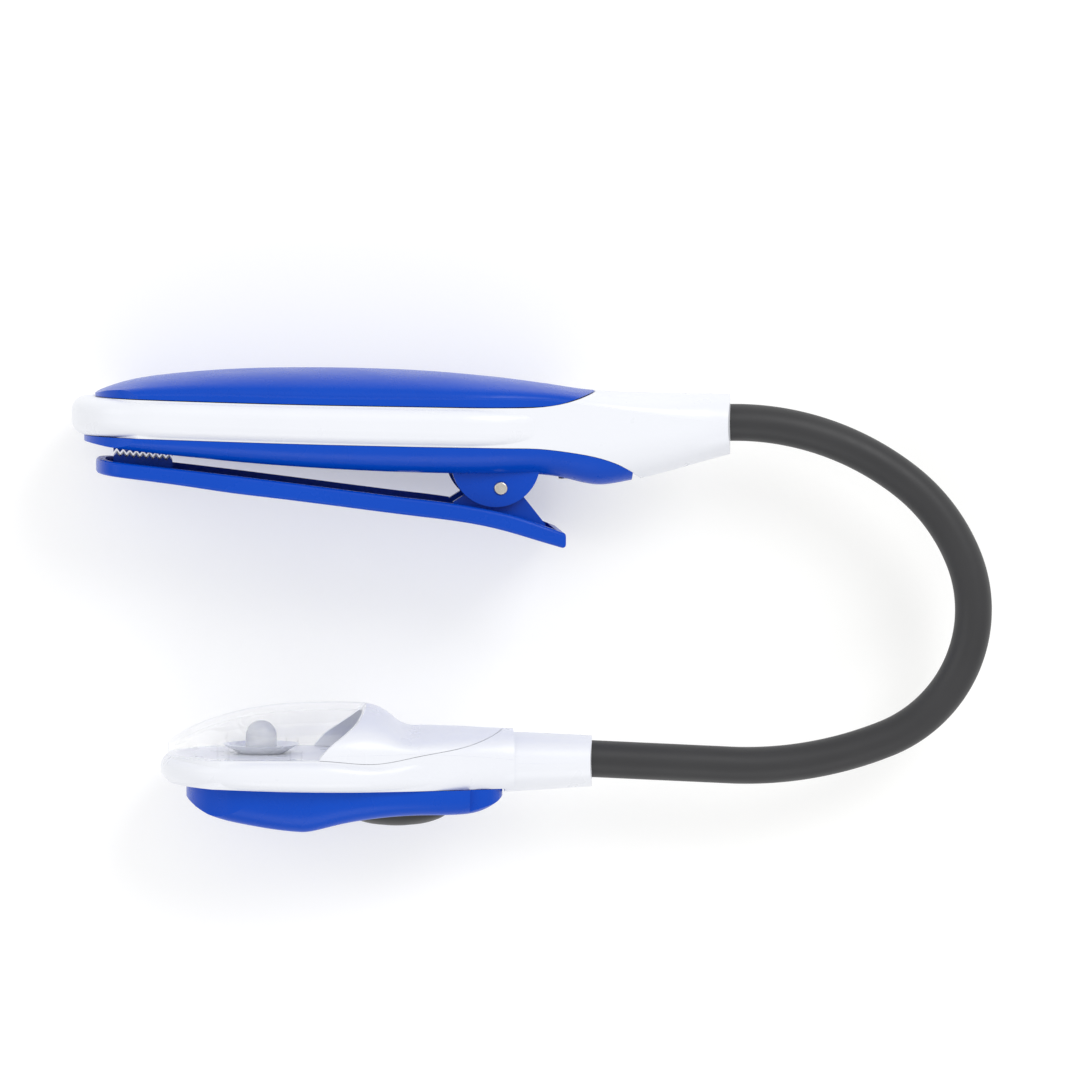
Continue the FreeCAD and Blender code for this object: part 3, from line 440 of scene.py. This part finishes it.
def floor_material():
    """White sweep that lights itself a little, so that its shadows stay pale."""
    n = Nodes("floor_paper")
    n.join(n.ramp(n.noise(6.0, 3.0), [(0.3, (0.59, 0.59, 0.58)), (0.7, (0.61, 0.61, 0.60))]),
           n.shader.inputs["Base Color"])
    n.fix(Roughness=0.9, Emission_Color=(1.0, 1.0, 1.0, 1.0), Emission_Strength=0.42)
    n.bump(n.noise(900.0, 3.0), 0.01 * MM)
    return n.material


materials = {
    "white_plastic": plastic("white_plastic", (0.80, 0.815, 0.86), (0.785, 0.80, 0.848), (0.26, 0.34)),
    "blue_plastic": plastic("blue_plastic", (0.0, 0.064, 0.50), (0.0, 0.056, 0.46), (0.24, 0.32),
                            Specular_IOR_Level=0.2),
    "zinc_steel": metal("zinc_steel", (0.66, 0.66, 0.63), (0.48, 0.48, 0.46), (0.25, 0.4)),
    "steel_pin": metal("steel_pin", (0.72, 0.69, 0.63), (0.52, 0.49, 0.44), (0.22, 0.36)),
    "spring_steel": metal("spring_steel", (0.34, 0.34, 0.35), (0.22, 0.22, 0.23), (0.28, 0.4)),
    "nickel_plate": metal("nickel_plate", (0.74, 0.72, 0.66), (0.60, 0.58, 0.53), (0.2, 0.32)),
    "cell_wrap": cell_wrap(),
    "neck_rubber": plastic("neck_rubber", (0.036, 0.036, 0.038), (0.030, 0.030, 0.032), (0.42, 0.5),
                           grain=1600.0, grain_depth=0.012 * MM, clouds=70.0, Specular_IOR_Level=0.35),
    "core_steel": wound_core(),
    "red_insulation": plastic("red_insulation", (0.60, 0.02, 0.02), (0.50, 0.015, 0.015), (0.35, 0.5)),
    "black_insulation": plastic("black_insulation", (0.03, 0.03, 0.03), (0.02, 0.02, 0.02), (0.35, 0.5)),
    "clear_plastic": clear_plastic(),
    "board_green": plastic("board_green", (0.03, 0.22, 0.08), (0.02, 0.16, 0.06), (0.3, 0.42)),
    "led_epoxy": led_epoxy(),
    "resistor_body": plastic("resistor_body", (0.60, 0.48, 0.32), (0.50, 0.38, 0.25), (0.25, 0.35)),
    "switch_black": plastic("switch_black", (0.035, 0.035, 0.035), (0.025, 0.025, 0.025), (0.4, 0.5)),
    "button_grey": plastic("button_grey", (0.027, 0.028, 0.030), (0.022, 0.023, 0.025), (0.38, 0.46),
                           grain=1400.0, grain_depth=0.01 * MM, Specular_IOR_Level=0.35),
}


def dress_frame():
    """Gives every CAD node its own slot's material."""
    slots = {p["node"]: p["material_slot"] for p in frame["record"]["subparts"]}
    for name, node in frame["nodes"].items():
        node.data.materials.clear()
        node.data.materials.append(materials[slots[name]])


# ---------------------------------------------------------------- camera, light and floor
def make_camera():
    """Looks down on the flank from a long way off, leaning a little towards the nose and the clip."""
    target = Vector((0.0009, 0.0091, 0.015))
    lean = Vector((-0.066, 0.058, 0.996)).normalized()
    distance = 0.97
    data = bpy.data.cameras.new("camera")
    data.lens = 200.0
    data.sensor_width = 36.0
    data.clip_start = 0.05
    data.clip_end = 10.0
    camera = link(bpy.data.objects.new("camera", data))
    right = Vector((0, 1, 0)).cross(lean).normalized()
    up = lean.cross(right)
    turn = Matrix((right, up, lean)).transposed().to_4x4()
    camera.matrix_world = Matrix.Translation(target + lean * distance) @ turn
    bpy.context.scene.camera = camera


def area_light(name, place, size, power):
    """A white rectangular light aimed at the middle of the object."""
    data = bpy.data.lights.new(name, "AREA")
    data.shape = "RECTANGLE"
    data.size, data.size_y = size
    data.energy = power
    light = link(bpy.data.objects.new(name, data))
    back = (place - MIDDLE).normalized()
    light.matrix_world = Matrix.Translation(place) @ back.to_track_quat("Z", "Y").to_matrix().to_4x4()


def make_studio():
    """White surroundings, three soft lights and the floor."""
    world = bpy.data.worlds.new("studio")
    bpy.context.scene.world = world
    world.use_nodes = True
    background = world.node_tree.nodes["Background"]
    background.inputs["Color"].default_value = (1.0, 1.0, 1.0, 1.0)
    background.inputs["Strength"].default_value = 0.8
    area_light("key", Vector((0.9, 1.2, 1.5)), (0.9, 0.9), 14.0)
    area_light("fill_left", Vector((-1.6, 0.5, 1.2)), (1.2, 1.2), 5.0)
    area_light("fill_low", Vector((0.2, -1.6, 1.3)), (1.4, 1.0), 6.0)
    bm = bmesh.new()
    bmesh.ops.create_grid(bm, x_segments=8, y_segments=8, size=3.0)
    floor = mesh_object("floor", bm)
    floor.data.materials.append(floor_material())
    scene = bpy.context.scene
    scene.view_settings.view_transform = "Standard"
    scene.view_settings.look = "None"


# ---------------------------------------------------------------- making
make_camera()
make_studio()
dress_frame()
sleeve = neck_pieces("neck_sleeve", "neck_rubber", SLEEVE_OUTER, SLEEVE_INNER, SLEEVE_TUCK, SLEEVE_TUCK,
                     SLEEVE_SIDES)
red = neck_pieces("lead_red", "red_insulation", WIRE_RADIUS, 0.0, WIRE_LEAD, WIRE_TAIL,
                  WIRE_SIDES, WIRE_OFFSET)
black = neck_pieces("lead_black", "black_insulation", WIRE_RADIUS, 0.0, WIRE_LEAD, WIRE_TAIL,
                    WIRE_SIDES, -WIRE_OFFSET)
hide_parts("neck_sleeve")
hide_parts("wire_red")
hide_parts("wire_black")
jaw_spring()
